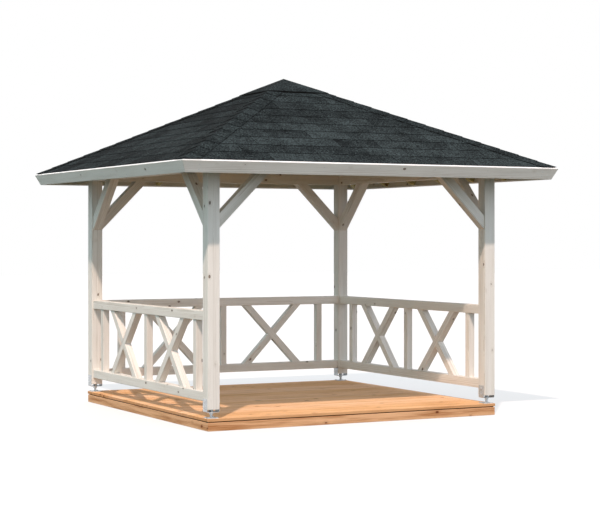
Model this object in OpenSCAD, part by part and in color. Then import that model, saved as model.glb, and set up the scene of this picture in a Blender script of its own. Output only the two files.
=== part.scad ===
// Square garden gazebo: a timber deck, four posts on adjustable steel feet,
// three railing panels with crosses, a ring of beams on knee braces and a
// pyramid roof. The front, on the -Y side, is open. Sizes are in millimetres.
// The origin is the middle of the deck's underside, with +Z up.

/* [Posts] */
// Distance between the centres of two neighbouring posts
post_pitch = 3030; // [2400:10:3700]
// Width of each square post
post_w = 120; // [100:5:160]
// Height of the posts' tops above the deck floor
post_top = 2275; // [1850:5:2800]
// Height of the posts' lower ends above the deck floor
post_lift = 83; // [75:1:120]
// Chamfer along the arrises of posts, rails and uprights
timber_chamfer = 4; // [1:1:8]

/* [Deck] */
// How far the deck floor reaches past the posts' outer faces
deck_margin = 3; // [0:1:100]
// Thickness of the floor boards
floor_t = 28; // [20:1:45]
// How far the floor boards reach past the frame
floor_overhang = 3; // [0:1:30]
// Width of the frame's rims and joists
joist_w = 45; // [35:1:60]
// Height of the frame's rims and joists
joist_h = 87; // [60:1:200]
// Number of joists between the side rims
joist_count = 7; // [5:2:11]

/* [Feet] */
// Side of the square base plate
foot_plate_w = 110; // [80:5:120]
// Thickness of the base plate
foot_plate_t = 5; // [3:1:8]
// Diameter of the threaded spindle
spindle_d = 24; // [16:1:30]
// Height of the saddle's underside above the deck floor
saddle_lift = 56; // [45:1:60]
// Thickness of the saddle's steel
saddle_t = 4; // [3:1:6]
// Outer radius of the saddle's bends
saddle_r = 12; // [8:1:20]
// Width of the saddle's flanges
flange_w = 90; // [60:5:100]
// Height of the flanges from the saddle's underside
flange_h = 124; // [90:2:160]
// Nut size across its flats
nut_af = 36; // [24:1:41]
// Height of each nut
nut_h = 18; // [10:1:19]

/* [Beams and braces] */
// Width of the beams
beam_w = 95; // [70:5:120]
// Height of the beams
beam_h = 170; // [120:5:240]
// Thickness of the knee braces, level with the beams
brace_t = 95; // [60:5:120]
// Width of a knee brace, square to its length
brace_w = 95; // [60:5:120]
// Length along the beam of the edge under a brace
brace_leg = 530; // [300:10:700]

/* [Railings] */
// Thickness of the rails
rail_t = 90; // [60:5:100]
// Height of each rail's section
rail_h = 90; // [60:5:120]
// Height of the top rail's upper face above the deck floor
rail_top = 985; // [800:5:1100]
// Height of the bottom rail's underside above the deck floor
rail_gap = 150; // [80:5:250]
// Side of the square uprights and cross bars
bar_w = 70; // [45:5:80]
// Clear gap between a post and the nearest upright
end_gap = 207; // [60:1:300]
// Lean of the cross bars from the horizontal, in degrees
cross_angle = 46.3; // [40:0.1:55]
// Room left in the back rail's ends for the saddles' flanges
flange_clearance = 1; // [0.5:0.5:3]

/* [Roof] */
// Slope of the roof, in degrees
roof_pitch = 25.4; // [15:0.1:40]
// How far the eaves reach past the posts' centre lines
eave_reach = 510; // [300:10:800]
// Thickness of the shingle layer
shingle_t = 4; // [3:1:10]
// Thickness of the roof boards
roof_board_t = 16; // [12:1:28]
// Width of the rafters
rafter_w = 45; // [35:1:80]
// Depth of the rafters, square to the slope
rafter_h = 95; // [70:5:160]
// Distance between neighbouring rafters
rafter_pitch = 600; // [450:10:900]
// Number of rafters on each slope
rafter_count = 5; // [3:2:5]
// Depth of the rafters' seats at the beams' outer faces
seat_depth = 12; // [5:1:30]
// Width of the octagonal block that the rafters meet at the peak
peak_block_w = 140; // [120:5:200]
// How far the peak block hangs below the rafters
peak_block_drop = 60; // [20:5:150]
// Thickness of the fascia boards
fascia_t = 28; // [18:1:40]
// Height of the fascia boards, square to the slope
fascia_h = 116; // [100:1:180]
// Half the width of the peak cap
cap_half = 340; // [200:10:500]
// Thickness of the peak cap
cap_t = 13; // [8:1:30]

/* [Hidden] */
PANELS = ["left", "back", "right"];
SIDES = ["front", "right", "back", "left"];
CORNERS = ["front_left", "front_right", "back_right", "back_left"];

// Cuts run past the faces that they open by this much
over = 1;
// Larger than the whole gazebo
far = 4 * post_pitch;

half = post_pitch / 2;
floor_z = joist_h + floor_t;
deck_half = half + post_w / 2 + deck_margin;
frame_half = deck_half - floor_overhang;

beam_z = floor_z + post_top;
beam_top = beam_z + beam_h;
beam_out = half + beam_w / 2;
beam_in = half - beam_w / 2;

rail_span = post_pitch - post_w;
rail_low_z = floor_z + rail_gap;
rail_high_z = floor_z + rail_top - rail_h;
bar_z = rail_low_z + rail_h;
bar_len = rail_high_z - bar_z;
upright_x = rail_span / 2 - end_gap - bar_w / 2;
cross_x = upright_x / 2;

eave_half = half + eave_reach;
board_depth = shingle_t;
rafter_depth = shingle_t + roof_board_t;
under_depth = rafter_depth + rafter_h;
eave_z = beam_top - seat_depth + under_depth / cos(roof_pitch)
    - (eave_half - beam_out) * tan(roof_pitch);
peak_z = eave_z + eave_half * tan(roof_pitch);
under_peak_z = peak_z - under_depth / cos(roof_pitch);
slope_len = eave_half / cos(roof_pitch);

// The turn that brings the front side's shapes to a side, and back to its index
function side_turn(name) = 90 * search([name], SIDES)[0];
// The turn that brings the front left corner's shapes to a corner
function corner_turn(name) = 90 * search([name], CORNERS)[0];

module on_side(name) {
    rotate([0, 0, side_turn(name)]) children();
}

module on_corner(name) {
    rotate([0, 0, corner_turn(name)]) children();
}

// A square outline with its corners cut by the chamfer
module chamfered_outline(w, h) {
    x = w / 2;
    y = h / 2;
    c = timber_chamfer;
    polygon([
        [-x + c, -y], [x - c, -y], [x, -y + c], [x, y - c],
        [x - c, y], [-x + c, y], [-x, y - c], [-x, -y + c]
    ]);
}

// A chamfered bar along X, centred on X and Y, standing on z = 0
module bar_along_x(length, depth, height) {
    translate([-length / 2, 0, height / 2])
        rotate([90, 0, 90])
            linear_extrude(length) chamfered_outline(depth, height);
}

// ---- Deck ----

module deck_frame() {
    bay = (2 * frame_half - (joist_count + 2) * joist_w) / (joist_count + 1);
    color("#C29468") {
        for (i = [0 : joist_count + 1])
            translate([-frame_half + i * (bay + joist_w), -frame_half, 0])
                cube([joist_w, 2 * frame_half, joist_h]);
        for (y = [-frame_half, frame_half - joist_w])
            translate([-frame_half, y, 0]) cube([2 * frame_half, joist_w, joist_h]);
    }
}

module deck_floor() {
    color("#E0A87A")
        translate([-deck_half, -deck_half, joist_h])
            cube([2 * deck_half, 2 * deck_half, floor_t]);
}

// ---- Posts and feet ----

module post(corner) {
    color("#DEDBD2")
        on_corner(corner)
            translate([-half, -half, floor_z + post_lift])
                linear_extrude(post_top - post_lift)
                    chamfered_outline(post_w, post_w);
}

// The saddle's outline: a U with round bends that grips the post's side faces
module saddle_outline() {
    w = post_w / 2 + saddle_t;
    bend_in = saddle_r - saddle_t;
    translate([-w + saddle_r, 0]) square([2 * (w - saddle_r), saddle_t]);
    for (s = [-1, 1])
        scale([s, 1]) {
            translate([w - saddle_t, saddle_r]) square([saddle_t, flange_h - saddle_r]);
            translate([w - saddle_r, saddle_r])
                difference() {
                    circle(r = saddle_r, $fn = 48);
                    circle(r = bend_in, $fn = 48);
                    translate([-saddle_r - over, 0])
                        square(2 * (saddle_r + over));
                    translate([-saddle_r - over, -saddle_r - over])
                        square([saddle_r + over, 2 * (saddle_r + over)]);
                }
        }
}

// A foot's flanges lie on its post's faces across X, at every corner
module foot_at_origin() {
    nut_r = nut_af / 2 / cos(30);
    translate([-foot_plate_w / 2, -foot_plate_w / 2, 0])
        cube([foot_plate_w, foot_plate_w, foot_plate_t]);
    cylinder(d = spindle_d, h = saddle_lift + saddle_t + nut_h, $fn = 48);
    translate([0, 0, saddle_lift - nut_h]) cylinder(r = nut_r, h = nut_h, $fn = 6);
    translate([0, 0, saddle_lift + saddle_t]) cylinder(r = nut_r, h = nut_h, $fn = 6);
    translate([0, flange_w / 2, saddle_lift])
        rotate([90, 0, 0]) linear_extrude(flange_w) saddle_outline();
}

module foot(corner) {
    color("#B9BEC1")
        on_corner(corner)
            translate([-half, -half, floor_z])
                rotate([0, 0, -corner_turn(corner)]) foot_at_origin();
}

// ---- Beams and braces ----

// The beams across the front and back keep the lower halves of the corner laps,
// and the beams along the sides keep the upper halves
module beam(side) {
    keeps_low = side == "front" || side == "back";
    cut_z = keeps_low ? beam_z + beam_h / 2 : beam_z - over;
    color("#CFCBC0")
        on_side(side)
            difference() {
                translate([-beam_out, -beam_out, beam_z])
                    cube([2 * beam_out, beam_w, beam_h]);
                for (x = [-beam_out - over, beam_in])
                    translate([x, -beam_out - over, cut_z])
                        cube([beam_w + over, beam_w + 2 * over, beam_h / 2 + over]);
            }
}

module beam_ring() {
    difference() {
        translate([-beam_out, -beam_out, beam_z])
            cube([2 * beam_out, 2 * beam_out, beam_h]);
        translate([-beam_in, -beam_in, beam_z - over])
            cube([2 * beam_in, 2 * beam_in, beam_h + 2 * over]);
    }
}

module braces(side) {
    step = brace_w * sqrt(2);
    color("#C9C8BE")
        on_side(side)
            for (s = [0, 1])
                mirror([s, 0, 0])
                    translate([-half + post_w / 2, -half + brace_t / 2, beam_z])
                        rotate([90, 0, 0])
                            linear_extrude(brace_t)
                                polygon([
                                    [0, -brace_leg], [brace_leg, 0],
                                    [brace_leg - step, 0], [0, -brace_leg + step]
                                ]);
}

// ---- Railings ----

module top_rail(side) {
    color("#D8D4CA")
        on_side(side)
            translate([0, -half, rail_high_z]) bar_along_x(rail_span, rail_t, rail_h);
}

// The back rail's ends are housed over the feet's flanges
module bottom_rail(side) {
    housing = saddle_t + flange_clearance;
    housing_w = flange_w + 2 * flange_clearance;
    housing_z = floor_z + saddle_lift + flange_h + flange_clearance;
    color("#D8D4CA")
        on_side(side)
            difference() {
                translate([0, -half, rail_low_z]) bar_along_x(rail_span, rail_t, rail_h);
                if (side == "back" && housing_z > rail_low_z)
                    for (s = [-1, 1])
                        translate([
                            s * rail_span / 2 - housing, -half - housing_w / 2, rail_low_z - over
                        ])
                            cube([2 * housing, housing_w, housing_z - rail_low_z + over]);
            }
}

module uprights(side) {
    color("#DAD5CB")
        on_side(side)
            for (x = [-upright_x, 0, upright_x])
                translate([x, -half, bar_z])
                    linear_extrude(bar_len) chamfered_outline(bar_w, bar_w);
}

// Each cross is two bars, cut level where they meet the rails
module crosses(side) {
    run = bar_len / tan(cross_angle) / 2;
    reach = bar_w / sin(cross_angle) / 2;
    color("#DAD5CB")
        on_side(side)
            for (x = [-cross_x, cross_x], lean = [-1, 1])
                translate([x, -half + bar_w / 2, bar_z])
                    rotate([90, 0, 0])
                        linear_extrude(bar_w)
                            polygon([
                                [-lean * run - reach, 0], [-lean * run + reach, 0],
                                [lean * run + reach, bar_len], [lean * run - reach, bar_len]
                            ]);
}

// ---- Roof ----

// The front slope's layer between two depths below its upper face, from a
// distance up the slope to past the peak
module slope_layer(from_depth, to_depth, from_edge, to_edge = 2 * slope_len) {
    translate([0, -eave_half, eave_z])
        rotate([roof_pitch, 0, 0])
            translate([-far / 2, from_edge, -to_depth])
                cube([far, to_edge - from_edge, to_depth - from_depth]);
}

// The quarter of the plan that the front slope covers, drawn back from the hips
module front_quarter(back_from_hip = 0) {
    s = back_from_hip * sqrt(2);
    linear_extrude(far)
        polygon([[0, -s], [-far, -far - s], [far, -far - s]]);
}

// Everything below a depth and within the fascia, under all four slopes
module below_slopes(depth, from_edge) {
    intersection_for (side = SIDES)
        on_side(side) slope_layer(depth, far, from_edge);
}

module roof_boards(side) {
    color("#B08D5E")
        on_side(side)
            intersection() {
                slope_layer(board_depth, rafter_depth, fascia_t);
                front_quarter();
            }
}

module shingles(side) {
    color("#3D4144")
        on_side(side)
            intersection() {
                slope_layer(0, shingle_t, fascia_t);
                front_quarter();
            }
}

module fascia(side) {
    color("#B4B9B5")
        on_side(side)
            intersection() {
                slope_layer(0, fascia_h, 0, fascia_t);
                front_quarter();
            }
}

module peak_block_outline() {
    rotate(22.5) circle(r = peak_block_w / 2 / cos(22.5), $fn = 8);
}

module peak_block() {
    color("#B8946A")
        intersection() {
            below_slopes(rafter_depth, fascia_t);
            translate([0, 0, under_peak_z - peak_block_drop])
                linear_extrude(far) peak_block_outline();
        }
}

// Room that the rafters leave for the beams they sit on and the peak block
module rafter_clearance() {
    beam_ring();
    linear_extrude(far) peak_block_outline();
}

module rafters() {
    color("#B8946A")
        difference() {
            for (side = SIDES)
                on_side(side)
                    intersection() {
                        slope_layer(rafter_depth, under_depth, fascia_t);
                        front_quarter(rafter_w / 2);
                        for (i = [0 : rafter_count - 1])
                            translate([
                                (i - (rafter_count - 1) / 2) * rafter_pitch - rafter_w / 2,
                                -far / 2, 0
                            ])
                                cube([rafter_w, far / 2, far]);
                    }
            rafter_clearance();
        }
}

// A hip rafter's lower edge is flat, level with the lower corners of the
// rafters that meet its sides
module hip_rafters() {
    drop = rafter_w / 2 * tan(roof_pitch) / sqrt(2);
    low_peak = under_peak_z - drop;
    hip_slope = tan(roof_pitch) / sqrt(2);
    reach = eave_half * sqrt(2);
    color("#B8946A")
        difference() {
            intersection() {
                below_slopes(rafter_depth, fascia_t);
                for (corner = CORNERS)
                    on_corner(corner)
                        rotate([0, 0, 45])
                            translate([rafter_w / 2, 0, 0])
                                rotate([90, 0, -90])
                                    linear_extrude(rafter_w)
                                        polygon([
                                            [0, low_peak],
                                            [reach, low_peak - reach * hip_slope],
                                            [reach, peak_z], [0, peak_z]
                                        ]);
            }
            rafter_clearance();
        }
}

// The cap lies on the shingles and covers the four slopes' tips
module peak_cap() {
    edge = (eave_half - cap_half) / cos(roof_pitch);
    color("#42464A")
        difference() {
            intersection_for (side = SIDES)
                on_side(side) slope_layer(-cap_t, far, edge);
            intersection_for (side = SIDES)
                on_side(side) slope_layer(0, far, -far);
        }
}

// ---- Every piece ----

deck_frame();
deck_floor();

for (corner = CORNERS) {
    post(corner);
    foot(corner);
}

for (side = SIDES) {
    beam(side);
    braces(side);
    roof_boards(side);
    shingles(side);
    fascia(side);
}

for (side = PANELS) {
    top_rail(side);
    bottom_rail(side);
    uprights(side);
    crosses(side);
}

hip_rafters();
rafters();
peak_block();
peak_cap();
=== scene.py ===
"""Garden gazebo: the finish of every timber, shingle and fitting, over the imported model."""

import math
import random
from functools import partial

import bmesh
import bpy
from mathutils import Matrix, Vector


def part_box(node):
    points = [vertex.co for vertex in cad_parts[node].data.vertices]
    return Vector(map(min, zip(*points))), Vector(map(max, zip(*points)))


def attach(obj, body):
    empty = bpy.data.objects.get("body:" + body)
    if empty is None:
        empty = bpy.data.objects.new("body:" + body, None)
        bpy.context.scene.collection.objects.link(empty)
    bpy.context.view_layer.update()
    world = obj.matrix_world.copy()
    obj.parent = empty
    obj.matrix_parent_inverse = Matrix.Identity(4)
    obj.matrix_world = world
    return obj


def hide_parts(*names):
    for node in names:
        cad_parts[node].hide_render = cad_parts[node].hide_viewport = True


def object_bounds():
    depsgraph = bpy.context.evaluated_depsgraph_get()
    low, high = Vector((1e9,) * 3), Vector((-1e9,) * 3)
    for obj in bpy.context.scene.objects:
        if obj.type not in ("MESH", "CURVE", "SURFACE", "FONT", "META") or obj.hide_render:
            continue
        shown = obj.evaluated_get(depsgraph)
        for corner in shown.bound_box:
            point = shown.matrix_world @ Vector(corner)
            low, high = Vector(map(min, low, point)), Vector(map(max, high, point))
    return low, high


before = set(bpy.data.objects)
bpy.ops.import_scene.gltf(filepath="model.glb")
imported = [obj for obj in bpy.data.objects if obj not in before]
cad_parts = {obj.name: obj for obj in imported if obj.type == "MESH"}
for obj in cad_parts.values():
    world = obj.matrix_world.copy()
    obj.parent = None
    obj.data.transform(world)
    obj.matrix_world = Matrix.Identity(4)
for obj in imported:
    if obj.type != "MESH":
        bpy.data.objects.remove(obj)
CAD_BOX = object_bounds()

MM = 0.001
# A gap too small to see
HAIR = 0.1 * MM
# A face looks one way when its normal goes this much of that way
FACING = 0.7
SIDES = ("front", "right", "back", "left")
CORNERS = ("front_left", "front_right", "back_right", "back_left")
PANELS = ("left", "back", "right")

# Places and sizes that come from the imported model, in metres
FRAME_TOP, FLOOR_TOP = (corner.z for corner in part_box("deck_floor"))
DECK_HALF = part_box("deck_floor")[1].x
FRAME_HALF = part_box("deck_frame")[1].x
POST_LOW, POST_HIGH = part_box("front_left_post")
POST_CENTRE = -(POST_LOW.x + POST_HIGH.x) / 2
POST_HALF_W = (POST_HIGH.x - POST_LOW.x) / 2
BEAM_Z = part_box("front_beam")[0].z
BRACE_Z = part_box("front_braces")[0].z
UPRIGHTS_LOW, UPRIGHTS_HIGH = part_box("left_uprights")
BAR_WIDTH = UPRIGHTS_HIGH.x - UPRIGHTS_LOW.x
UPRIGHT_Y = UPRIGHTS_HIGH.y - BAR_WIDTH / 2
CROSS_LOW, CROSS_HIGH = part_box("left_crosses")
CAP_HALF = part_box("peak_cap")[1].x
EAVE_HALF = CAD_BOX[1].x

# The slope of the roof, the height of its upper face at the eaves, and its layers
PITCH = math.radians(25.4)
COS_PITCH, SIN_PITCH, TAN_PITCH = math.cos(PITCH), math.sin(PITCH), math.tan(PITCH)
EAVE_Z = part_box("front_shingles")[1].z - EAVE_HALF * TAN_PITCH
SHEET_T = 4 * MM
ROOF_BOARD_T = 16 * MM
ROOF_BOARD_W = 95 * MM
ROOF_BOARD_GAP = 0.5 * MM
FASCIA_T = 28 * MM
RAFTER_PITCH = 600 * MM
# How steep the bars of the crosses are
CROSS_LEAN = math.radians(46.3)

# How pale each slope's shingles are, from 0 to 1, and how dark their cut edges are. The left
# slope's low tone is painted shade, and its paler edges are painted light
SLOPE_TONES_AND_SHADE = {"front": 0.29, "right": 0.24, "back": 0.26, "left": 0.09}
EDGE_DARKNESS = {"front": 1.0, "right": 1.0, "back": 1.0, "left": 0.45}
# How far a shingle may differ from its slope's tone, how much darker the hip caps are as
# painted shade, and how far one of them may differ from that
TONE_SPREAD = 0.15
HIP_CAP_PAINTED_SHADE = -0.07
HIP_CAP_SPREAD = 0.03


# ---- node trees ----


def linear(colour):
    """A hex sRGB colour as the linear RGBA that a socket takes."""
    parts = [int(colour[i : i + 2], 16) / 255 for i in (1, 3, 5)]
    return tuple(
        c / 12.92 if c <= 0.04045 else ((c + 0.055) / 1.055) ** 2.4 for c in parts
    ) + (1.0,)


def add_node(tree, kind, inputs=None, **settings):
    """Add one node: its settings, then its inputs, each a value, a socket, or a node, which
    gives its first output."""
    node = tree.nodes.new(kind)
    for name, value in settings.items():
        setattr(node, name, value)
    for name, value in (inputs or {}).items():
        if isinstance(value, bpy.types.Node):
            value = next(socket for socket in value.outputs if socket.enabled)
        if isinstance(value, bpy.types.NodeSocket):
            tree.links.new(value, node.inputs[name])
        else:
            node.inputs[name].default_value = value
    return node


def new_material(name, finish, **settings):
    """A node material whose surface comes from a finish, which adds its nodes."""
    material = bpy.data.materials.new(name)
    material.use_nodes = True
    material.node_tree.nodes.clear()
    add = partial(add_node, material.node_tree)
    add("ShaderNodeOutputMaterial", {"Surface": finish(add, **settings)})
    return material


# ---- materials ----


def timber(add, early, late, knot, heart, end, ring_mm, roughness, streak, knot_gap_mm, spread):
    """Softwood. The board attribute runs along, across and through each piece in metres, so
    rings, fibre streaks and knots follow every piece's own length."""
    board = add("ShaderNodeAttribute", attribute_name="board").outputs["Vector"]
    tone = add("ShaderNodeAttribute", attribute_name="tone").outputs["Fac"]
    end_grain_and_shade = add("ShaderNodeAttribute", attribute_name="end_grain_and_shade").outputs["Fac"]

    # Noise drawn out along the grain, in waves for each metre along and across it: the slow
    # drift of the rings, fibres 2 mm wide, and streaks of heartwood some centimetres wide
    noise = {}
    for part, along, across, detail in (
        ("drift", 1.1, 9.0, 3.0), ("fibre", 5.0, 420.0, 2.0), ("broad", 1.5, 26.0, 3.0)
    ):
        drawn_out = add(
            "ShaderNodeVectorMath", {0: board, 1: (along, across, across)},
            operation="MULTIPLY",
        )
        noise[part] = add(
            "ShaderNodeTexNoise", {"Vector": drawn_out, "Scale": 1.0, "Detail": detail}
        ).outputs

    # Knots: the ends of branches, 15 to 25 mm across, oval along the piece, whose outline
    # wavers by some millimetres
    squeezed = add("ShaderNodeVectorMath", {0: board, 1: (0.6, 1.0, 1.0)}, operation="MULTIPLY")
    wobble = add("ShaderNodeTexNoise", {"Vector": board, "Scale": 55.0}).outputs["Color"]
    wobbled = add(
        "ShaderNodeVectorMath", {0: wobble, 1: (6 * MM, 6 * MM, 6 * MM), 2: squeezed},
        operation="MULTIPLY_ADD",
    )
    from_knot = add(
        "ShaderNodeTexVoronoi", {"Vector": wobbled, "Scale": 1000 / knot_gap_mm}
    ).outputs["Distance"]
    # The paler heart, the whole knot and the stained wood round it, from the middle outwards
    rounds = [
        add(
            "ShaderNodeMapRange",
            {"Value": from_knot, "From Min": inner, "From Max": outer, "To Min": 1.0,
             "To Max": 0.0},
            interpolation_type="SMOOTHSTEP",
        )
        for inner, outer in ((0.02, 0.06), (0.07, 0.10), (0.08, 0.24))
    ]

    # Year rings round a pith that lies off the piece, bent where they pass a knot
    bent = add(
        "ShaderNodeVectorMath",
        {0: noise["drift"]["Color"], 1: (0.0, 22 * MM, 22 * MM), 2: board},
        operation="MULTIPLY_ADD",
    )
    push = add("ShaderNodeMath", {0: rounds[2], 1: 10 * MM}, operation="MULTIPLY")
    ringed = add(
        "ShaderNodeVectorMath", {0: bent, 1: add("ShaderNodeCombineXYZ", {"Y": push})},
        operation="ADD",
    )
    rings = add(
        "ShaderNodeTexWave",
        # One wave is pi / (10 * scale) long
        {"Vector": ringed, "Scale": math.pi / (10 * ring_mm * MM), "Distortion": 0.6,
         "Detail": 2.0, "Detail Scale": 0.6},
        wave_type="RINGS", rings_direction="X", wave_profile="SAW",
    ).outputs["Fac"]
    late_band = add(
        "ShaderNodeMapRange", {"Value": rings, "From Min": 0.35},
        interpolation_type="SMOOTHSTEP",
    )

    # The share of late wood: rings, then fibres and streaks that move it both ways
    share = add("ShaderNodeMath", {0: late_band, 1: 0.55}, operation="MULTIPLY")
    for part, amount in (("fibre", streak), ("broad", 1.6 * streak)):
        centred = add("ShaderNodeMath", {0: noise[part]["Fac"], 1: 0.5}, operation="SUBTRACT")
        share = add(
            "ShaderNodeMath", {0: centred, 1: amount, 2: share}, operation="MULTIPLY_ADD",
            use_clamp=part == "broad",
        )
    wood = add(
        "ShaderNodeMix", {"Factor": share, "A": linear(early), "B": linear(late)},
        data_type="RGBA",
    )
    # Pieces differ a little from one to the next
    value, saturation = (
        add("ShaderNodeMapRange", {"Value": tone, "To Min": low, "To Max": high})
        for low, high in ((1 - spread, 1 + 0.7 * spread), (1 + 1.5 * spread, 1 - spread))
    )
    wood = add(
        "ShaderNodeHueSaturation", {"Color": wood, "Value": value, "Saturation": saturation}
    )
    knot_colour = add(
        "ShaderNodeMix", {"Factor": rounds[0], "A": linear(knot), "B": linear(heart)},
        data_type="RGBA",
    )
    # The end colour is end grain, and on the deck boards' narrow sides it is painted shade
    for mask, amount, colour in (
        (rounds[2], 0.35, linear(late)), (end_grain_and_shade, 0.6, linear(end)), (rounds[1], 0.9, knot_colour)
    ):
        factor = add("ShaderNodeMath", {0: mask, 1: amount}, operation="MULTIPLY")
        wood = add("ShaderNodeMix", {"Factor": factor, "A": wood, "B": colour}, data_type="RGBA")

    height = add(
        "ShaderNodeMath", {0: noise["fibre"]["Fac"], 1: 0.4, 2: late_band},
        operation="MULTIPLY_ADD",
    )
    bump = add("ShaderNodeBump", {"Height": height, "Strength": 0.35, "Distance": 0.4 * MM})
    return add(
        "ShaderNodeBsdfPrincipled",
        {"Base Color": wood, "Roughness": roughness, "IOR": 1.5, "Specular IOR Level": 0.12,
         "Normal": bump},
    )


def bitumen(add, dark, pale, edge):
    """Bitumen shingle with mineral grit: matt and charcoal, each shingle its own shade,
    clouded over a hand's width, and black where a cut edge shows no grit. The grit is 1 to
    2 mm; a coarser speckle of 15 mm stands for it where the roof is seen from afar."""
    place = add("ShaderNodeTexCoord").outputs["Object"]
    tone = add("ShaderNodeAttribute", attribute_name="tone").outputs["Fac"]
    cut = add("ShaderNodeAttribute", attribute_name="cut").outputs["Fac"]
    # Each scale is in grains, specks or clouds for each metre
    grit = add("ShaderNodeTexVoronoi", {"Vector": place, "Scale": 420.0})
    speckle = add(
        "ShaderNodeTexNoise",
        {"Vector": place, "Scale": 66.0, "Detail": 3.0, "Roughness": 0.7},
    )
    cloud = add("ShaderNodeTexNoise", {"Vector": place, "Scale": 5.0, "Detail": 4.0})
    # The two patterns move each shingle's own shade up and down
    shade = tone
    for source, amount in ((cloud, 0.8), (speckle, 3.3)):
        centred = add("ShaderNodeMath", {0: source, 1: 0.5}, operation="SUBTRACT")
        shade = add(
            "ShaderNodeMath", {0: centred, 1: amount, 2: shade}, operation="MULTIPLY_ADD",
            use_clamp=source is speckle,
        )
    colour = add(
        "ShaderNodeMix", {"Factor": shade, "A": linear(dark), "B": linear(pale)},
        data_type="RGBA",
    )
    colour = add(
        "ShaderNodeMix", {"Factor": cut, "A": colour, "B": linear(edge)}, data_type="RGBA"
    )
    bump = add(
        "ShaderNodeBump",
        {"Height": grit.outputs["Distance"], "Strength": 0.6, "Distance": 0.8 * MM},
    )
    return add(
        "ShaderNodeBsdfPrincipled",
        {"Base Color": colour, "Roughness": 0.95, "Specular IOR Level": 0.05, "Normal": bump},
    )


def zinc_coat(add, dark, pale):
    """Hot-dip galvanised steel: grey zinc crystals about 8 mm across, dull to the eye."""
    place = add("ShaderNodeTexCoord").outputs["Object"]
    crystal = add("ShaderNodeTexVoronoi", {"Vector": place, "Scale": 120.0})
    value = add("ShaderNodeSeparateColor", {"Color": crystal.outputs["Color"]})
    colour = add(
        "ShaderNodeMix", {"Factor": value, "A": linear(dark), "B": linear(pale)},
        data_type="RGBA",
    )
    rough = add("ShaderNodeMapRange", {"Value": value, "To Min": 0.5, "To Max": 0.65})
    return add(
        "ShaderNodeBsdfPrincipled",
        {"Base Color": colour, "Metallic": 0.8, "Roughness": rough},
    )


def lacquer(add, colour):
    """White lacquer on folded steel: even, with a soft sheen over faint orange peel."""
    place = add("ShaderNodeTexCoord").outputs["Object"]
    peel = add("ShaderNodeTexNoise", {"Vector": place, "Scale": 300.0})
    rough = add("ShaderNodeMapRange", {"Value": peel, "To Min": 0.4, "To Max": 0.5})
    bump = add("ShaderNodeBump", {"Height": peel, "Strength": 0.1, "Distance": 0.2 * MM})
    return add(
        "ShaderNodeBsdfPrincipled",
        {"Base Color": linear(colour), "Roughness": rough, "Normal": bump},
    )


def studio_paint(add):
    """A plain pale studio floor: it shows white with the gazebo's shadow on it, and it
    throws little light back up."""
    rays = add("ShaderNodeLightPath").outputs
    seen = add(
        "ShaderNodeMath", {0: rays["Is Camera Ray"], 1: rays["Is Glossy Ray"]},
        operation="MAXIMUM",
    )
    colour = add(
        "ShaderNodeMix",
        {"Factor": seen, "A": linear("#4C524B"), "B": linear("#F2F2F2")}, data_type="RGBA",
    )
    matt = add("ShaderNodeBsdfDiffuse", {"Color": colour})
    white = add("ShaderNodeEmission", {"Color": (1, 1, 1, 1), "Strength": 1.0})
    # The camera sees it as plain white by more than half, so the shadow stays pale
    share = add("ShaderNodeMath", {0: rays["Is Camera Ray"], 1: 0.6}, operation="MULTIPLY")
    return add("ShaderNodeMixShader", {0: share, 1: matt, 2: white})


# Spruce with a thin white stain: chalky, the grain and knots just showing through
WHITE = new_material(
    "whitewashed_spruce", timber, early="#EBE7E0", late="#C8BFB3", knot="#5A4A3E",
    heart="#8F7B68", end="#C9BFAD", ring_mm=7.0, roughness=0.7, streak=0.75, knot_gap_mm=118,
    spread=0.05,
)
# Planed spruce without a finish: honey brown, the rings plain to see
BARE = new_material(
    "bare_spruce", timber, early="#C9BB88", late="#A69566", knot="#5C3A22",
    heart="#8A6038", end="#A98A5C", ring_mm=6.0, roughness=0.65, streak=0.7, knot_gap_mm=130,
    spread=0.07,
)
# Oiled larch decking: warm orange brown with red knots
DECK = new_material(
    "oiled_larch", timber, early="#F4C799", late="#C08857", knot="#6E2F16",
    heart="#9A5A34", end="#B87F54", ring_mm=7.0, roughness=0.75, streak=1.5, knot_gap_mm=165,
    spread=0.06,
)
# The frame under the floor: the same larch, sawn, with stronger streaks
RIM = new_material(
    "sawn_larch", timber, early="#EABA90", late="#A97145", knot="#5E2410",
    heart="#8A4A2A", end="#B07A50", ring_mm=7.0, roughness=0.75, streak=1.9, knot_gap_mm=140,
    spread=0.06,
)
SHINGLE = new_material(
    "bitumen_shingle", bitumen, dark="#0D1113", pale="#475254", edge="#0C0D0D"
)
# Underlay felt and joist tape, finer and darker than the shingles. On the tape the black
# is painted shade
FELT = new_material("bitumen_felt", bitumen, dark="#15181A", pale="#22262A", edge="#0C0D0D")
ZINC = new_material("galvanised_steel", zinc_coat, dark="#AEB6BB", pale="#D6DBDE")
LACQUER = new_material("white_lacquered_steel", lacquer, colour="#F7F8F8")
FLOOR = new_material("studio_floor", studio_paint)


# ---- timber pieces ----


def put_in_scene(name, data):
    """An object at the origin for a mesh, a light or a camera."""
    made = bpy.data.objects.new(name, data)
    bpy.context.scene.collection.objects.link(made)
    return made


def finish_piece(mesh, material, nodes=()):
    """Put a finished mesh in the scene as a piece, on the gazebo's one body."""
    mesh.materials.clear()
    mesh.materials.append(material)
    piece = put_in_scene(mesh.name, mesh)
    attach(piece, "root")
    if nodes:
        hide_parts(*nodes)
    return piece


def mesh_of(shape, name):
    """Turn a finished shape into a mesh."""
    mesh = bpy.data.meshes.new(name)
    shape.normal_update()
    shape.to_mesh(mesh)
    shape.free()
    return mesh


def join(shape, other):
    """Add a copy of another shape's faces to a shape, and free the other."""
    copies = {vert: shape.verts.new(vert.co) for vert in other.verts}
    for face in other.faces:
        shape.faces.new([copies[vert] for vert in face.verts])
    other.free()


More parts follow.
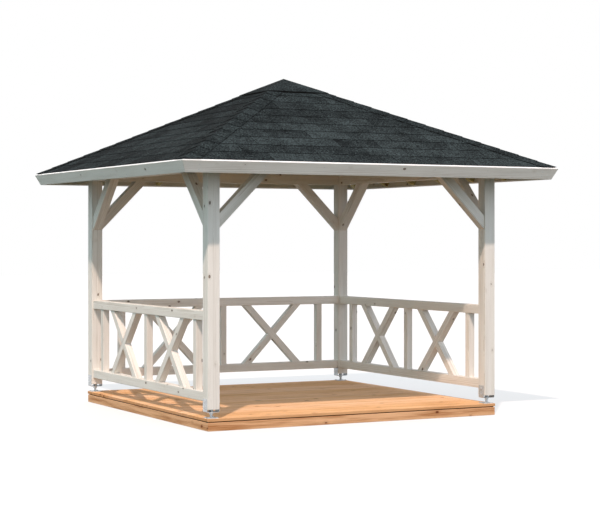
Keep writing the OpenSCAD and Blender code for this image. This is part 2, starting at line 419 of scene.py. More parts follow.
def ease_arrises(shape, width):
    """Round the edges of a shape where its faces turn by more than 20 degrees."""
    sharp = [
        e for e in shape.edges
        if len(e.link_faces) == 2 and e.calc_face_angle(0) > math.radians(20)
    ]
    bmesh.ops.bevel(
        shape, geom=sharp, offset=width, offset_type="OFFSET", segments=2, profile=0.5,
        affect="EDGES", clamp_overlap=True,
    )


def timber_piece(name, timbers, material, nodes=(), ease=2.5 * MM, painted_side_shade=0.0):
    """Join timbers, each a (shape, direction of the grain), into one piece whose points
    hold their place along, across and through their own timber. The ends take the end-grain
    colour, and the sides take it as painted shade, as far as the last argument says."""
    chance = random.Random(name)
    joined = bmesh.new()
    board = joined.verts.layers.float_vector.new("board")
    tone = joined.verts.layers.float.new("tone")
    end_grain_and_shade = joined.faces.layers.float.new("end_grain_and_shade")
    for shape, along in timbers:
        ease_arrises(shape, ease)
        along = Vector(along).normalized()
        aside = Vector((0, 0, 1)) if abs(along.z) < 0.9 else Vector((1, 0, 0))
        through = along.cross(aside).normalized()
        across = through.cross(along)
        turn = Matrix((along, across, through))
        middle = sum((v.co for v in shape.verts), Vector()) / len(shape.verts)
        # The pith of the log lies 30 to 120 mm off, outside most pieces
        angle = chance.uniform(0, math.tau)
        pith = chance.uniform(0.03, 0.12)
        shift = Vector((chance.uniform(-40, 40), pith * math.cos(angle), pith * math.sin(angle)))
        shade = chance.random()
        copies = {}
        for vert in shape.verts:
            copy = joined.verts.new(vert.co)
            copy[board] = turn @ (vert.co - middle) + shift
            copy[tone] = shade
            copies[vert] = copy
        for face in shape.faces:
            made = joined.faces.new([copies[v] for v in face.verts])
            at_side = abs(face.normal.dot(through)) > FACING
            at_end = abs(face.normal.dot(along)) > FACING
            # Ends show end grain; the sides take the end colour only as painted shade
            made[end_grain_and_shade] = 1.0 if at_end else painted_side_shade * at_side
        shape.free()
    return finish_piece(mesh_of(joined, name), material, nodes)


def shapes_of_node(node):
    """The separate solids of a CAD node, merged and clean, each with its longest edge's way."""
    whole = bmesh.new()
    whole.from_mesh(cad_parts[node].data)
    bmesh.ops.remove_doubles(whole, verts=whole.verts, dist=0.01 * MM)
    bmesh.ops.dissolve_limit(
        whole, angle_limit=math.radians(0.5), verts=whole.verts, edges=whole.edges
    )
    left = set(whole.verts)
    found = []
    while left:
        first = min(left, key=lambda v: v.index)
        group = {first}
        to_follow = [first]
        while to_follow:
            for edge in to_follow.pop().link_edges:
                for vert in edge.verts:
                    if vert not in group:
                        group.add(vert)
                        to_follow.append(vert)
        left -= group
        shape = bmesh.new()
        copies = {v: shape.verts.new(v.co) for v in sorted(group, key=lambda v: v.index)}
        for face in whole.faces:
            if face.verts[0] in group:
                shape.faces.new([copies[v] for v in face.verts])
        shape.normal_update()
        longest = max(shape.edges, key=lambda e: e.calc_length())
        found.append((shape, longest.verts[1].co - longest.verts[0].co))
    whole.free()
    return found


def prism(outline, depth, to_world):
    """A solid from an outline in a plane, centred on the plane through its thickness."""
    shape = bmesh.new()
    near = [shape.verts.new(to_world @ Vector((x, y, depth / 2))) for x, y in outline]
    far = [shape.verts.new(to_world @ Vector((x, y, -depth / 2))) for x, y in outline]
    shape.faces.new(near)
    shape.faces.new(far[::-1])
    for i in range(len(outline)):
        j = (i + 1) % len(outline)
        shape.faces.new([near[j], near[i], far[i], far[j]])
    bmesh.ops.recalc_face_normals(shape, faces=shape.faces)
    return shape


def block(low, high):
    """A box between two corners."""
    low, high = Vector(low), Vector(high)
    shape = bmesh.new()
    bmesh.ops.create_cube(
        shape, size=1.0,
        matrix=Matrix.Translation((low + high) / 2) @ Matrix.Diagonal((*(high - low), 1)),
    )
    return shape


def side_turn(side):
    """The turn about Z that brings the front side's shapes to another side."""
    return Matrix.Rotation(math.radians(90 * SIDES.index(side)), 4, "Z")


def make_timbers_from_nodes():
    """Posts, beams, braces, rails, uprights, fascias and rafters keep the CAD's shapes."""
    whole_nodes = [f"{corner}_post" for corner in CORNERS]
    whole_nodes += [f"{side}_{part}" for side in SIDES for part in ("beam", "braces", "fascia")]
    whole_nodes += [
        f"{panel}_{part}" for panel in PANELS for part in ("top_rail", "bottom_rail", "uprights")
    ]
    for node in whole_nodes:
        timber_piece(
            f"{node}_timber", shapes_of_node(node), WHITE, [node],
            ease=1.5 * MM,
        )
    for node in ("hip_rafters", "rafters", "peak_block"):
        timber_piece(f"{node}_timber", shapes_of_node(node), BARE, [node])


# The half bars of a cross stop this short of the whole bar's side
BAR_GAP = 0.4 * MM


def make_crosses():
    """Each cross is one whole bar and two half bars that butt against it."""
    height = CROSS_HIGH.z - CROSS_LOW.z
    middle_z = (CROSS_HIGH.z + CROSS_LOW.z) / 2
    for panel in PANELS:
        whole_leans = 1 if panel in ("left", "back") else -1
        timbers = []
        for x in (-UPRIGHT_Y / 2, UPRIGHT_Y / 2):
            to_world = (
                side_turn(panel)
                @ Matrix.Translation((x, -POST_CENTRE, middle_z))
                @ Matrix.Rotation(math.radians(90), 4, "X")
            )
            for sign in (1, -1):
                slant = Vector((sign * math.cos(CROSS_LEAN), math.sin(CROSS_LEAN), 0))
                along = to_world.to_3x3() @ slant
                for outline in bar_outlines(sign, height, sign == whole_leans):
                    timbers.append((prism(outline, BAR_WIDTH, to_world), along))
        timber_piece(
            f"{panel}_cross_bars", timbers, WHITE, [f"{panel}_crosses"],
            ease=2 * MM,
        )


def bar_outlines(sign, height, whole):
    """A bar's outline between the rails, or its two halves beside the whole bar."""
    level = BAR_WIDTH / math.sin(CROSS_LEAN) / 2
    run = height / math.tan(CROSS_LEAN) / 2
    top = [(sign * run + level, height / 2), (sign * run - level, height / 2)]
    foot = [(-x, -y) for x, y in top]
    if whole:
        return [foot + top]
    side = (BAR_WIDTH / 2 + BAR_GAP) / math.sin(2 * CROSS_LEAN)
    half_w = BAR_WIDTH / 2 / math.sin(2 * CROSS_LEAN)
    own_way = Vector((sign * math.cos(CROSS_LEAN), math.sin(CROSS_LEAN)))
    whole_way = Vector((-own_way.x, own_way.y))
    upper = [own_way * side + whole_way * half_w, own_way * side - whole_way * half_w]
    return [ordered([tuple(p) for p in upper] + top), ordered([tuple(-p) for p in upper] + foot)]


def ordered(points):
    """Points of a convex outline, in order round their middle."""
    cx = sum(p[0] for p in points) / len(points)
    cy = sum(p[1] for p in points) / len(points)
    return sorted(points, key=lambda p: math.atan2(p[1] - cy, p[0] - cx))


# ---- deck ----

DECK_BOARD_W = 145 * MM
DECK_GAP = 5 * MM
RIM_T = 45 * MM
JOIST_COUNT = 7
# Bitumen tape between the boards and the frame, set back from the frame's faces. Its black is
# painted shade, the dark line between the boards and the rim
TAPE_T = 8 * MM
TAPE_INSET = 10 * MM
MITRE_GAP = 0.2 * MM
# Each board has two screws at each joist, this far from its middle and sunk this deep
DECK_SCREW_ASIDE = 45 * MM
DECK_SCREW_SUNK = 0.8 * MM


def mitred(outer, inner):
    """The outline of the front length of a square frame, with a hair's gap at its mitres."""
    outer_x, inner_x = outer - MITRE_GAP, inner - MITRE_GAP
    return [(-outer_x, -outer), (outer_x, -outer), (inner_x, -inner), (-inner_x, -inner)]


def make_deck():
    """Floor boards with open joints, along X, on joists between mitred rims."""
    count = round((2 * DECK_HALF + DECK_GAP) / (DECK_BOARD_W + DECK_GAP))
    step = (2 * DECK_HALF + DECK_GAP) / count
    width = step - DECK_GAP
    board_starts = [-DECK_HALF + i * step for i in range(count)]
    timbers = [
        (block((-DECK_HALF, y, FRAME_TOP), (DECK_HALF, y + width, FLOOR_TOP)), (1, 0, 0))
        for y in board_starts
    ]
    # The boards' narrow sides are darkened as painted shade in the joints and at the front edge
    timber_piece(
        "floor_boards", timbers, DECK, ["deck_floor"], ease=3 * MM, painted_side_shade=0.8
    )

    inner = FRAME_HALF - RIM_T
    top = FRAME_TOP - TAPE_T
    timbers = []
    shade_tape = bmesh.new()
    for side in SIDES:
        to_world = side_turn(side) @ Matrix.Translation((0, 0, top / 2))
        rim = prism(mitred(FRAME_HALF, inner), top, to_world)
        timbers.append((rim, side_turn(side) @ Vector((1, 0, 0))))
        to_world = side_turn(side) @ Matrix.Translation((0, 0, top + TAPE_T / 2))
        strip = mitred(FRAME_HALF - TAPE_INSET, inner + TAPE_INSET)
        join(shade_tape, prism(strip, TAPE_T, to_world))
    pitch = (2 * FRAME_HALF - RIM_T) / (JOIST_COUNT + 1)
    joists = [-FRAME_HALF + RIM_T / 2 + i * pitch for i in range(JOIST_COUNT + 2)]
    for x in joists[1:-1]:
        low, high = (x - RIM_T / 2, -inner, 0), (x + RIM_T / 2, inner, top)
        timbers.append((block(low, high), (0, 1, 0)))
        reach = RIM_T / 2 - TAPE_INSET
        join(shade_tape, block((x - reach, -inner, top), (x + reach, inner, FRAME_TOP)))
    timber_piece("rims_and_joists", timbers, RIM, ["deck_frame"], ease=3 * MM)
    # The tape's black is painted shade along the boards' lower edges
    bitumen_piece("joist_shade_tape", shade_tape, FELT)

    make_fasteners(
        "deck_screws",
        [
            ((x, y + width / 2 + aside, FLOOR_TOP - DECK_SCREW_SUNK), (0, 0, 1))
            for y in board_starts for x in joists
            for aside in (-DECK_SCREW_ASIDE, DECK_SCREW_ASIDE)
        ],
        {"Radius": 4.5 * MM, "Height": 1.2 * MM, "Sides": 12, "Recess": 0.5,
         "Recess depth": 0.9 * MM},
    )


# ---- roof ----


def slope_point(side, across, up, depth=0.0):
    """A point of a roof slope: metres across it, up it from the eaves, and below its face."""
    y = -EAVE_HALF + up * COS_PITCH + depth * SIN_PITCH
    z = EAVE_Z + up * SIN_PITCH - depth * COS_PITCH
    return side_turn(side) @ Vector((across, y, z))


def slope_way(side):
    """The direction straight up a roof slope."""
    return side_turn(side) @ Vector((0, COS_PITCH, SIN_PITCH))


def slope_half(up, depth=0.0):
    """Half the width of a slope, from hip to hip."""
    return EAVE_HALF - up * COS_PITCH - depth * SIN_PITCH


def slope_strip(side, low, high, top, bottom):
    """A board along a slope, cut at both ends on the hips."""
    shape = bmesh.new()
    rings = []
    for up in (low, high):
        for depth in (top, bottom):
            half = slope_half(up, depth)
            rings.append([
                shape.verts.new(slope_point(side, across, up, depth)) for across in (-half, half)
            ])
    (a, b), (c, d), (e, f), (g, h) = rings
    for corners in (
        (a, b, f, e), (c, g, h, d), (a, c, d, b), (e, f, h, g), (a, e, g, c), (b, d, h, f)
    ):
        shape.faces.new(corners)
    bmesh.ops.recalc_face_normals(shape, faces=shape.faces)
    return shape


def make_roof_boards():
    """Boards along each slope, with a small groove at each joint as seen from below."""
    top, bottom = SHEET_T, SHEET_T + ROOF_BOARD_T
    length = EAVE_HALF / COS_PITCH - bottom * TAN_PITCH
    count = int((length - FASCIA_T) / ROOF_BOARD_W)
    for side in SIDES:
        timbers = []
        for i in range(count):
            low = FASCIA_T + i * ROOF_BOARD_W
            high = FASCIA_T + (i + 1) * ROOF_BOARD_W - ROOF_BOARD_GAP
            board = slope_strip(side, low, high, top, bottom)
            timbers.append((board, side_turn(side) @ Vector((1, 0, 0))))
        timber_piece(f"{side}_roof_boarding", timbers, BARE, [f"{side}_roof_boards"])


def new_tree(name, sizes, counts):
    """A Geometry Nodes tree with named inputs, what adds a node to it, and those inputs."""
    tree = bpy.data.node_groups.new(name, "GeometryNodeTree")
    tree.interface.new_socket("Geometry", in_out="OUTPUT", socket_type="NodeSocketGeometry")
    for names, kind in (
        (["Geometry"], "NodeSocketGeometry"), (sizes, "NodeSocketFloat"),
        (counts, "NodeSocketInt"), (["Material"], "NodeSocketMaterial"),
    ):
        for socket_name in names:
            tree.interface.new_socket(socket_name, in_out="INPUT", socket_type=kind)
    add = partial(add_node, tree)
    return tree, add, add("NodeGroupInput").outputs


def finish_tree(add, instances, material):
    """End a tree with its instances made real and its material set."""
    real = add("GeometryNodeRealizeInstances", {"Geometry": instances})
    painted = add("GeometryNodeSetMaterial", {"Geometry": real, "Material": material})
    add("NodeGroupOutput", {"Geometry": painted})


COURSE = 193 * MM
TAB_W = 440 * MM
TAB_T = 3.5 * MM
TAB_GAP = 4 * MM
# A shingle's length as a share of its course
OVERLAP = 1.15
# The felt's upper face lies this far below the roof's, and the shingles just clear of it
FELT_DEPTH = 3.4 * MM
CLEAR = 0.3 * MM
STARTER_W = 150 * MM
DRIP_EDGE_T = 1 * MM
# How far the shingles reach in under the cap, and where the felt ends short of the peak
UNDER_CAP = 20 * MM
FELT_END = 50 * MM


def shingle_tree():
    """Courses of shingles in a slope's own plane: X across it and Y up it from the eaves."""
    tree, add, given = new_tree(
        "shingle_courses",
        ["Course", "Tab width", "Thickness", "First edge", "Height", "Darkest", "Palest",
         "Edge darkness"],
        ["Courses", "Columns", "Seed"],
    )
    # One point for each shingle. Every second course is moved on by half a shingle
    sizes = {}
    for size, spacing, count in (
        ("Size X", "Tab width", "Columns"), ("Size Y", "Course", "Courses")
    ):
        gaps = add("ShaderNodeMath", {0: given[count], 1: 1.0}, operation="SUBTRACT")
        sizes[size] = add("ShaderNodeMath", {0: gaps, 1: given[spacing]}, operation="MULTIPLY")
    grid = add(
        "GeometryNodeMeshGrid",
        {**sizes, "Vertices X": given["Columns"], "Vertices Y": given["Courses"]},
    )
    number = add("GeometryNodeInputIndex")
    course = add("ShaderNodeMath", {0: number, 1: given["Courses"]}, operation="MODULO")
    parity = add("ShaderNodeMath", {0: course, 1: 2.0}, operation="MODULO")
    half = add("ShaderNodeMath", {0: given["Tab width"], 1: 0.5}, operation="MULTIPLY")
    aside = add("ShaderNodeMath", {0: parity, 1: half}, operation="MULTIPLY")
    # The grid lies about the origin, and its lowest course goes to the first edge
    lift = add(
        "ShaderNodeMath", {0: sizes["Size Y"], 1: 0.5, 2: given["First edge"]},
        operation="MULTIPLY_ADD",
    )
    offset = add("ShaderNodeCombineXYZ", {"X": aside, "Y": lift, "Z": given["Height"]})
    points = add("GeometryNodeSetPosition", {"Geometry": grid, "Offset": offset})
    shade = add(
        "FunctionNodeRandomValue",
        {2: given["Darkest"], 3: given["Palest"], "Seed": given["Seed"]}, data_type="FLOAT",
    )
    points = add(
        "GeometryNodeStoreNamedAttribute",
        {"Geometry": points, "Name": "tone", "Value": shade}, data_type="FLOAT", domain="POINT",
    )

    # A shingle is a thin slab whose lower edge stands on the course below it
    width = add("ShaderNodeMath", {0: given["Tab width"], 1: TAB_GAP}, operation="SUBTRACT")
    length = add("ShaderNodeMath", {0: given["Course"], 1: OVERLAP}, operation="MULTIPLY")
    size = add("ShaderNodeCombineXYZ", {"X": width, "Y": length, "Z": given["Thickness"]})
    slab = add(
        "GeometryNodeMeshCube",
        {"Size": size, "Vertices X": 2, "Vertices Y": 2, "Vertices Z": 2},
    )
    at = add("ShaderNodeSeparateXYZ", {"Vector": add("GeometryNodeInputPosition")})
    # From 1 at the lower edge to 0 at the upper one
    part = add("ShaderNodeMath", {0: at.outputs["Y"], 1: length}, operation="DIVIDE")
    down = add(
        "ShaderNodeMapRange",
        {"Value": part, "From Min": -0.5, "From Max": 0.5, "To Min": 1.0, "To Max": 0.0},
    )
    rise = add("ShaderNodeMath", {0: given["Thickness"], 1: OVERLAP}, operation="MULTIPLY")
    tilt = add("ShaderNodeMath", {0: down, 1: rise}, operation="MULTIPLY")
    seat = add(
        "ShaderNodeMath", {0: given["Thickness"], 1: 0.5, 2: tilt}, operation="MULTIPLY_ADD"
    )
    ahead = add("ShaderNodeMath", {0: length, 1: 0.5}, operation="MULTIPLY")
    slab = add(
        "GeometryNodeSetPosition",
        {"Geometry": slab, "Offset": add("ShaderNodeCombineXYZ", {"Y": ahead, "Z": seat})},
    )
    # The thin edges and the back show little grit or none, as dark as each slope's input says;
    # the left slope's paler edges are painted light
    facing = add("ShaderNodeSeparateXYZ", {"Vector": add("GeometryNodeInputNormal")})
    thin = add("ShaderNodeMath", {0: facing.outputs["Z"], 1: FACING}, operation="LESS_THAN")
    bare = add("ShaderNodeMath", {0: thin, 1: given["Edge darkness"]}, operation="MULTIPLY")
    slab = add(
        "GeometryNodeStoreNamedAttribute", {"Geometry": slab, "Name": "cut", "Value": bare},
        data_type="FLOAT", domain="FACE",
    )
    placed = add("GeometryNodeInstanceOnPoints", {"Points": points, "Instance": slab})
    finish_tree(add, placed, given["Material"])
    return tree


def grow(name, tree, values, mesh=None):
    """Run a Geometry Nodes tree with these named values, and keep its result as a mesh."""
    maker = put_in_scene(f"{name}_maker", mesh or bpy.data.meshes.new(f"{name}_seed"))
    modifier = maker.modifiers.new("grow", "NODES")
    modifier.node_group = tree
    for item in tree.interface.items_tree:
        if item.in_out == "INPUT" and item.name in values:
            modifier[item.identifier] = values[item.name]
    bpy.context.view_layer.update()
    seen = maker.evaluated_get(bpy.context.evaluated_depsgraph_get())
    made = bpy.data.meshes.new_from_object(seen)
    made.name = name
    bpy.data.objects.remove(maker)
    return made


def trim_to_hips(shape, side):
    """Cut a shape on the two upright planes through a slope's hips, and close the cuts."""
    for lean in (1, -1):
        cut = bmesh.ops.bisect_plane(
            shape, geom=[*shape.verts, *shape.edges, *shape.faces], dist=1e-6,
            plane_co=(0, 0, 0), plane_no=side_turn(side) @ Vector((lean, 1, 0)), clear_outer=True,
        )
        bmesh.ops.holes_fill(
            shape, edges=[e for e in cut["geom_cut"] if isinstance(e, bmesh.types.BMEdge)]
        )


def bitumen_piece(name, shape, material=SHINGLE, nodes=()):
    """Finish a shape of bitumen sheet, whose thin edges and back show no grit. Each face
    takes the tone of the slope that it lies on, painted shade on the left slope included, unless
    the shape has tones of its own."""
    shape.normal_update()
    cut = shape.faces.layers.float.new("cut")
    tone = None
    if "tone" not in shape.faces.layers.float:
        tone = shape.faces.layers.float.new("tone")
    for face in shape.faces:
        face[cut] = 1.0 if face.normal.z < 0.6 else 0.0
        if tone:
            side = min(SIDES, key=lambda side: slope_way(side).dot(face.normal))
            face[tone] = SLOPE_TONES_AND_SHADE[side]
    return finish_piece(mesh_of(shape, name), material, nodes)


def make_shingles():
    """Shingles in courses on each slope, over felt, a starter strip and a drip edge."""
    tree = shingle_tree()
    length = (EAVE_HALF - CAP_HALF + UNDER_CAP) / COS_PITCH
    columns = 2 * math.ceil(EAVE_HALF / TAB_W) + 3
    for number, side in enumerate(SIDES):
        values = {
            "Course": COURSE, "Tab width": TAB_W, "Thickness": TAB_T, "First edge": FASCIA_T,
            "Height": CLEAR - FELT_DEPTH, "Courses": math.ceil((length - FASCIA_T) / COURSE),
            "Columns": columns, "Seed": 11 + number, "Material": SHINGLE,
            # The left slope's low tone is painted shade, and its paler edges are painted light
            "Darkest": SLOPE_TONES_AND_SHADE[side] - TONE_SPREAD, "Palest": SLOPE_TONES_AND_SHADE[side] + TONE_SPREAD,
            "Edge darkness": EDGE_DARKNESS[side],
        }
        mesh = grow(f"{side}_shingle_courses", tree, values)
        shape = bmesh.new()
        shape.from_mesh(mesh)
        bpy.data.meshes.remove(mesh)
        # From the slope's own plane to its place
        across, up = side_turn(side) @ Vector((1, 0, 0)), slope_way(side)
        to_slope = Matrix((across, up, across.cross(up))).transposed().to_4x4()
        shape.transform(Matrix.Translation(slope_point(side, 0, 0)) @ to_slope)
        trim_to_hips(shape, side)
        finish_piece(mesh_of(shape, f"{side}_shingle_courses"), SHINGLE)

        top = (EAVE_HALF - FELT_END) / COS_PITCH
        felt = slope_strip(side, FASCIA_T, top, FELT_DEPTH, SHEET_T - HAIR)
        bitumen_piece(f"{side}_felt", felt, FELT, [f"{side}_shingles"])
        bottom = FELT_DEPTH - CLEAR
        strip = slope_strip(side, FASCIA_T, FASCIA_T + STARTER_W, bottom - TAB_T, bottom)
        bitumen_piece(f"{side}_starter_strip", strip)
        drip_edge = slope_strip(side, 1 * MM, FASCIA_T, -DRIP_EDGE_T, 0)
        finish_piece(mesh_of(drip_edge, f"{side}_drip_edge"), LACQUER)


HIP_CAP_W = 125 * MM
HIP_CAP_EXPOSED = 200 * MM
HIP_CAP_L = 235 * MM
HIP_CAP_T = 4 * MM
# How far the hip caps lie above the slope: along the hip, at their side edges, and more
# where they lap over the next cap
HIP_CAP_RISE = 4.5 * MM
HIP_CAP_SIDE_RISE = 1.5 * MM
HIP_CAP_LAP = HIP_CAP_T + 1 * MM
# How far they go past the shingles onto the drip edge, and in under the peak cap
HIP_CAP_PAST = 8 * MM
HIP_CAP_TUCK = 60 * MM


def make_hip_caps():
    """Shingles folded over each hip, lapping from the eaves up to the cap."""
    chance = random.Random("hip caps")
    joined = bmesh.new()
    tone = joined.faces.layers.float.new("tone")
    stretch = math.hypot(COS_PITCH, 1)
    lowest = (FASCIA_T - HIP_CAP_PAST) * stretch
    length = (EAVE_HALF - CAP_HALF + HIP_CAP_TUCK) / COS_PITCH * stretch
    count = math.ceil((length - lowest) / HIP_CAP_EXPOSED)

    def point(side, sign, along, inward, height):
        """A point near a hip: along it from the corner, inward from it, and over the slope."""
        up = (along - inward * COS_PITCH) / stretch
        across = EAVE_HALF - (along * COS_PITCH + inward) / stretch
        across += height * SIN_PITCH
        return slope_point(side, sign * across, up, -height)

    for number, side in enumerate(SIDES):
        next_side = SIDES[(number + 1) % 4]
        for i in range(count):
            low = lowest + i * HIP_CAP_EXPOSED
            high = min(low + HIP_CAP_L, lowest + length)
            # Painted shade on each hip cap, with a little random tone
            shade = HIP_CAP_PAINTED_SHADE + chance.uniform(-HIP_CAP_SPREAD, HIP_CAP_SPREAD)
            # Corners of the left edge, the fold and the right edge, low and high. The lowest
            # cap is cut level with the eaves
            rings = []
            for along, lift in ((low, HIP_CAP_LAP), (high, 0)):
                level = max(along, HIP_CAP_W * COS_PITCH + lowest)
                side_at = level if i == 0 and lift else along
                for extra in (0, HIP_CAP_T):
                    edge = HIP_CAP_SIDE_RISE + lift + extra
                    fold = HIP_CAP_RISE + lift + extra
                    rings.append([
                        joined.verts.new(p) for p in (
                            point(side, 1, side_at, HIP_CAP_W, edge),
                            point(side, 1, along, 0, fold),
                            point(next_side, -1, side_at, HIP_CAP_W, edge),
                        )
                    ])
            low_under, low_over, high_under, high_over = rings
            for j, slope in ((0, side), (1, next_side)):
                # The upper and the lower face, the two ends and the side edge
                k, end = j + 1, 2 * j
                for corners in (
                    (low_over[j], low_over[k], high_over[k], high_over[j]),
                    (low_under[j], high_under[j], high_under[k], low_under[k]),
                    (low_under[j], low_under[k], low_over[k], low_over[j]),
                    (high_under[j], high_over[j], high_over[k], high_under[k]),
                    (low_under[end], low_over[end], high_over[end], high_under[end]),
                ):
                    joined.faces.new(corners)[tone] = SLOPE_TONES_AND_SHADE[slope] + shade
    bmesh.ops.recalc_face_normals(joined, faces=joined.faces)
    bitumen_piece("hip_caps", joined)


# A black bead under the cap's edge: sealant, and painted shade
SEALANT_AND_SHADE_W = 8 * MM
# How far the cap's sheets stand up at their lower edges
CAP_LIFT = 4 * MM


def make_peak_cap():
    """Four sheets folded over the peak, with a bead of black sealant along their edges, whose
    black is also painted shade under the cap's edge.
    """
    cap, _ = shapes_of_node("peak_cap")[0]
    lowest = min(vert.co.z for vert in cap.verts)
    for vert in cap.verts:
        at_foot = vert.co.z < lowest + HAIR
        at_rim = abs(vert.co.x) > CAP_HALF - 1 * MM
        # The foot is drawn out into the black bead: sealant, and painted shade under the cap's
        # edge
        if at_foot:
            vert.co.xy *= 1 + SEALANT_AND_SHADE_W / CAP_HALF
            vert.co.z -= SEALANT_AND_SHADE_W * TAN_PITCH
        elif at_rim:
            vert.co.z += CAP_LIFT
    bitumen_piece("peak_cap_sheets", cap, SHINGLE, ["peak_cap"])


# ---- steel ----

# A head's upper face, as a share of its lower one
HEAD_TAPER = 0.88
# How far screws' heads, washers and bolts' heads go into what they lie on
SCREW_SUNK = 0.5 * MM
WASHER_SUNK = 0.2 * MM
HEAD_SUNK = 0.32 * MM


def fastener_tree():
    """A head with a driven recess on each point: round, or a bolt's with six sides."""
    tree, add, given = new_tree(
        "fastener_heads", ["Radius", "Height", "Recess", "Recess depth"], ["Sides"]
    )
    top = add("ShaderNodeMath", {0: given["Radius"], 1: HEAD_TAPER}, operation="MULTIPLY")
    head = add(
        "GeometryNodeMeshCone",
        {"Vertices": given["Sides"], "Radius Top": top, "Radius Bottom": given["Radius"],
         "Depth": given["Height"]},
    )
    rim = add(
        "GeometryNodeExtrudeMesh",
        {"Mesh": head, "Selection": head.outputs["Top"], "Offset Scale": 0.0},
    )
    mouth = add(
        "GeometryNodeScaleElements",
        {"Geometry": rim, "Selection": rim.outputs["Top"], "Scale": given["Recess"]},
    )
    inwards = add("ShaderNodeMath", {0: given["Recess depth"], 1: -1.0}, operation="MULTIPLY")
    pit = add(
        "GeometryNodeExtrudeMesh",
        {"Mesh": mouth, "Selection": rim.outputs["Top"], "Offset Scale": inwards},
    )
    facing = add("GeometryNodeInputNamedAttribute", {"Name": "facing"}, data_type="FLOAT_VECTOR")
    turn = add("FunctionNodeAlignRotationToVector", {"Vector": facing}, axis="Z")
    placed = add(
        "GeometryNodeInstanceOnPoints",
        {"Points": given["Geometry"], "Instance": pit, "Rotation": turn},
    )
    finish_tree(add, placed, given["Material"])
    return tree


FASTENER_TREE = fastener_tree()


def make_fasteners(name, heads, sizes):
    """Heads of screws, bolts or washers, each at a (place, way it faces). A recess is a
    share of the head's upper face."""
    seed = bmesh.new()
    facing = seed.verts.layers.float_vector.new("facing")
    for place, way in heads:
        seed.verts.new(place)[facing] = way
    points = mesh_of(seed, f"{name}_points")
    mesh = grow(name, FASTENER_TREE, {**sizes, "Material": ZINC}, points)
    finish_piece(mesh, ZINC)


# Heights above the floor, and sizes, of the parts of a foot
PLATE_T = 5 * MM
NUT_Z = 38 * MM
SADDLE_Z = 56 * MM
SADDLE_T = 4 * MM
SPINDLE_R = 12 * MM
THREAD_PITCH = 3 * MM
# A plate's bolts lie this far from its middle both ways, and a flange's this far up it
PLATE_BOLT = 40 * MM
FLANGE_BOLTS = (48 * MM, 96 * MM)
WASHER_T = 1.6 * MM


def make_feet_fittings():
    """Bolts through the base plates and flanges, and the spindles' threads."""
    plate_bolts, flange_bolts = [], []
    threads = bmesh.new()
    for right, back in ((-1, -1), (-1, 1), (1, -1), (1, 1)):
        centre = Vector((right * POST_CENTRE, back * POST_CENTRE, FLOOR_TOP))
        for x in (-PLATE_BOLT, PLATE_BOLT):
            for y in (-PLATE_BOLT, PLATE_BOLT):
                plate_bolts.append((centre + Vector((x, y, PLATE_T)), Vector((0, 0, 1))))
        for way in (-1, 1):
            for height in FLANGE_BOLTS:
                out = Vector((way * (POST_HALF_W + SADDLE_T), 0, SADDLE_Z + height))
                flange_bolts.append((centre + out, Vector((way, 0, 0))))
        make_thread(threads, centre)
    finish_piece(mesh_of(threads, "spindle_threads"), ZINC)
    for name, bolts, head_r, head_t, washer_r in (
        ("plate", plate_bolts, 7.5 * MM, 5.25 * MM, 10.125 * MM),
        ("flange", flange_bolts, 9.5 * MM, 6.65 * MM, 12.825 * MM),
    ):
        washers = [(place - WASHER_SUNK * way, way) for place, way in bolts]
        raised = [(place + (WASHER_T - HEAD_SUNK) * way, way) for place, way in bolts]
        make_fasteners(
            f"{name}_washers", washers,
            {"Radius": washer_r, "Height": WASHER_T, "Sides": 20, "Recess": 0.5,
             "Recess depth": 0.4 * MM},
        )
        make_fasteners(
            f"{name}_bolt_heads", raised,
            {"Radius": head_r, "Height": head_t, "Sides": 6, "Recess": 0.8,
             "Recess depth": 0.4 * MM},
        )


def make_thread(shape, centre):
    """Ridges round one spindle, between its base plate and its lower nut."""
    segments = 24
    ridge, groove = 0.6 * MM, 0.05 * MM
    steps = round((NUT_Z - PLATE_T) / (THREAD_PITCH / 2))
    rings = []
    for i in range(steps + 1):
        radius = SPINDLE_R + (ridge if i % 2 else groove)
        z = PLATE_T + (NUT_Z - PLATE_T) * i / steps
        rings.append([
            shape.verts.new(centre + Vector((
                radius * math.cos(math.tau * j / segments),
                radius * math.sin(math.tau * j / segments), z,
            )))
            for j in range(segments)
        ])
    shape.faces.new(rings[0][::-1])
    shape.faces.new(rings[-1])
    for low, high in zip(rings, rings[1:]):
        for j in range(segments):
            k = (j + 1) % segments
            shape.faces.new((low[j], low[k], high[k], high[j]))


# The fascias' screws: in line with the rafters and beside each corner, and two at each place,
# this far below the fascia's upper edge
FASCIA_SCREWS_ACROSS = [k * RAFTER_PITCH for k in range(-2, 3)] + [-1.85, 1.85]
FASCIA_SCREWS_DOWN = (38 * MM, 84 * MM)
# The braces' screws: as shares of a brace's length, and this far from its middle
BRACE_SCREWS_ALONG = (0.1, 0.9)
BRACE_SCREW_ASIDE = 22 * MM


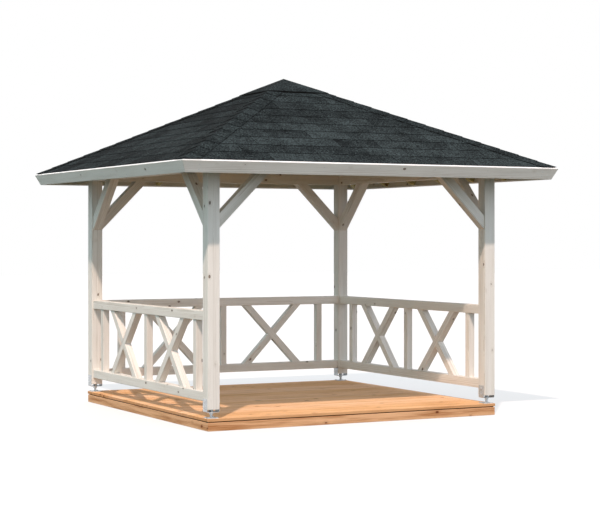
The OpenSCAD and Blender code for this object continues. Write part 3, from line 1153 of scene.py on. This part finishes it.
def make_timber_screws():
    """Pairs of screws through the fascias into the rafters' ends, and through the braces."""
    fascia, braces = [], []
    inner = POST_CENTRE - POST_HALF_W
    leg = BEAM_Z - BRACE_Z
    for side in SIDES:
        for across in FASCIA_SCREWS_ACROSS:
            for depth in FASCIA_SCREWS_DOWN:
                place = slope_point(side, across, SCREW_SUNK, depth)
                fascia.append((place, -slope_way(side)))
        for sign in (-1, 1):
            way = side_turn(side) @ Vector((-sign, 0, -1)).normalized()
            for share in BRACE_SCREWS_ALONG:
                for aside in (-BRACE_SCREW_ASIDE, BRACE_SCREW_ASIDE):
                    under = Vector((
                        sign * (inner - share * leg), -POST_CENTRE + aside,
                        BEAM_Z - (1 - share) * leg,
                    ))
                    braces.append((side_turn(side) @ under - SCREW_SUNK * way, way))
    for name, heads in (("fascia_screws", fascia), ("brace_screws", braces)):
        make_fasteners(
            name, heads,
            {"Radius": 4 * MM, "Height": 1 * MM, "Sides": 12, "Recess": 0.5,
             "Recess depth": 0.8 * MM},
        )


def dress_cad_nodes():
    """The feet keep the CAD's shape and take their own finish."""
    for corner in CORNERS:
        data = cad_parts[f"{corner}_foot"].data
        data.materials.clear()
        data.materials.append(ZINC)


# ---- studio ----

FLOOR_REACH = 60
# The way the key light shines, and how strong the light all round is, low down and overhead
KEY_WAY = (0.375, 0.490, -0.787)
LOW_LIGHT, HIGH_LIGHT = 1.62, 0.81


def make_studio():
    """A pale floor, a warm key light from the front left, and cool light all round that is
    dimmer overhead and to the left."""
    shape = bmesh.new()
    bmesh.ops.create_grid(
        shape, x_segments=1, y_segments=1, size=FLOOR_REACH,
        matrix=Matrix.Translation((0, 0, -0.5 * MM)),
    )
    mesh = mesh_of(shape, "studio_floor")
    mesh.materials.append(FLOOR)
    put_in_scene("studio_floor", mesh)

    sun = bpy.data.lights.new("key_light", "SUN")
    sun.energy = 2.9
    sun.color = linear("#FFE6D7")[:3]
    sun.angle = math.radians(2)
    key = put_in_scene("key_light", sun)
    key.rotation_mode = "QUATERNION"
    key.rotation_quaternion = Vector(KEY_WAY).to_track_quat("-Z", "Y")

    world = bpy.data.worlds.new("studio_world")
    bpy.context.scene.world = world
    world.use_nodes = True
    world.node_tree.nodes.clear()
    add = partial(add_node, world.node_tree)
    rays = add("ShaderNodeLightPath").outputs
    seen = rays["Is Camera Ray"]
    for kind in ("Is Glossy Ray", "Is Transmission Ray"):
        seen = add("ShaderNodeMath", {0: seen, 1: rays[kind]}, operation="MAXIMUM")
    way = add("ShaderNodeTexCoord").outputs["Generated"]
    way = add("ShaderNodeSeparateXYZ", {"Vector": way}).outputs
    strength = add(
        "ShaderNodeMapRange",
        {"Value": way["Z"], "To Min": LOW_LIGHT, "To Max": HIGH_LIGHT},
    )
    share = add("ShaderNodeMapRange", {"Value": way["X"], "From Min": -1.0})
    colour = add(
        "ShaderNodeMix",
        {"Factor": share, "A": linear("#C1D7DC"), "B": linear("#F3F3FF")}, data_type="RGBA",
    )
    around = add("ShaderNodeBackground", {"Color": colour, "Strength": strength})
    white = add("ShaderNodeBackground", {"Color": (1, 1, 1, 1), "Strength": 1.0})
    mixed = add("ShaderNodeMixShader", {0: seen, 1: around, 2: white})
    add("ShaderNodeOutputWorld", {"Surface": mixed})


def make_camera():
    """A level camera at eye height, in front of the gazebo's left corner."""
    lens = bpy.data.cameras.new("camera")
    lens.sensor_width = 36
    lens.lens = 99.37
    lens.shift_y = -0.0302
    lens.clip_end = 200
    camera = put_in_scene("camera", lens)
    camera.location = (-7.818, -15.398, 1.763)
    camera.rotation_euler = (math.radians(90), 0, math.radians(-27.487))
    bpy.context.scene.camera = camera


make_camera()
make_timbers_from_nodes()
make_crosses()
make_deck()
make_roof_boards()
make_shingles()
make_hip_caps()
make_peak_cap()
make_feet_fittings()
make_timber_screws()
dress_cad_nodes()
make_studio()

bpy.context.scene.view_settings.view_transform = "Standard"
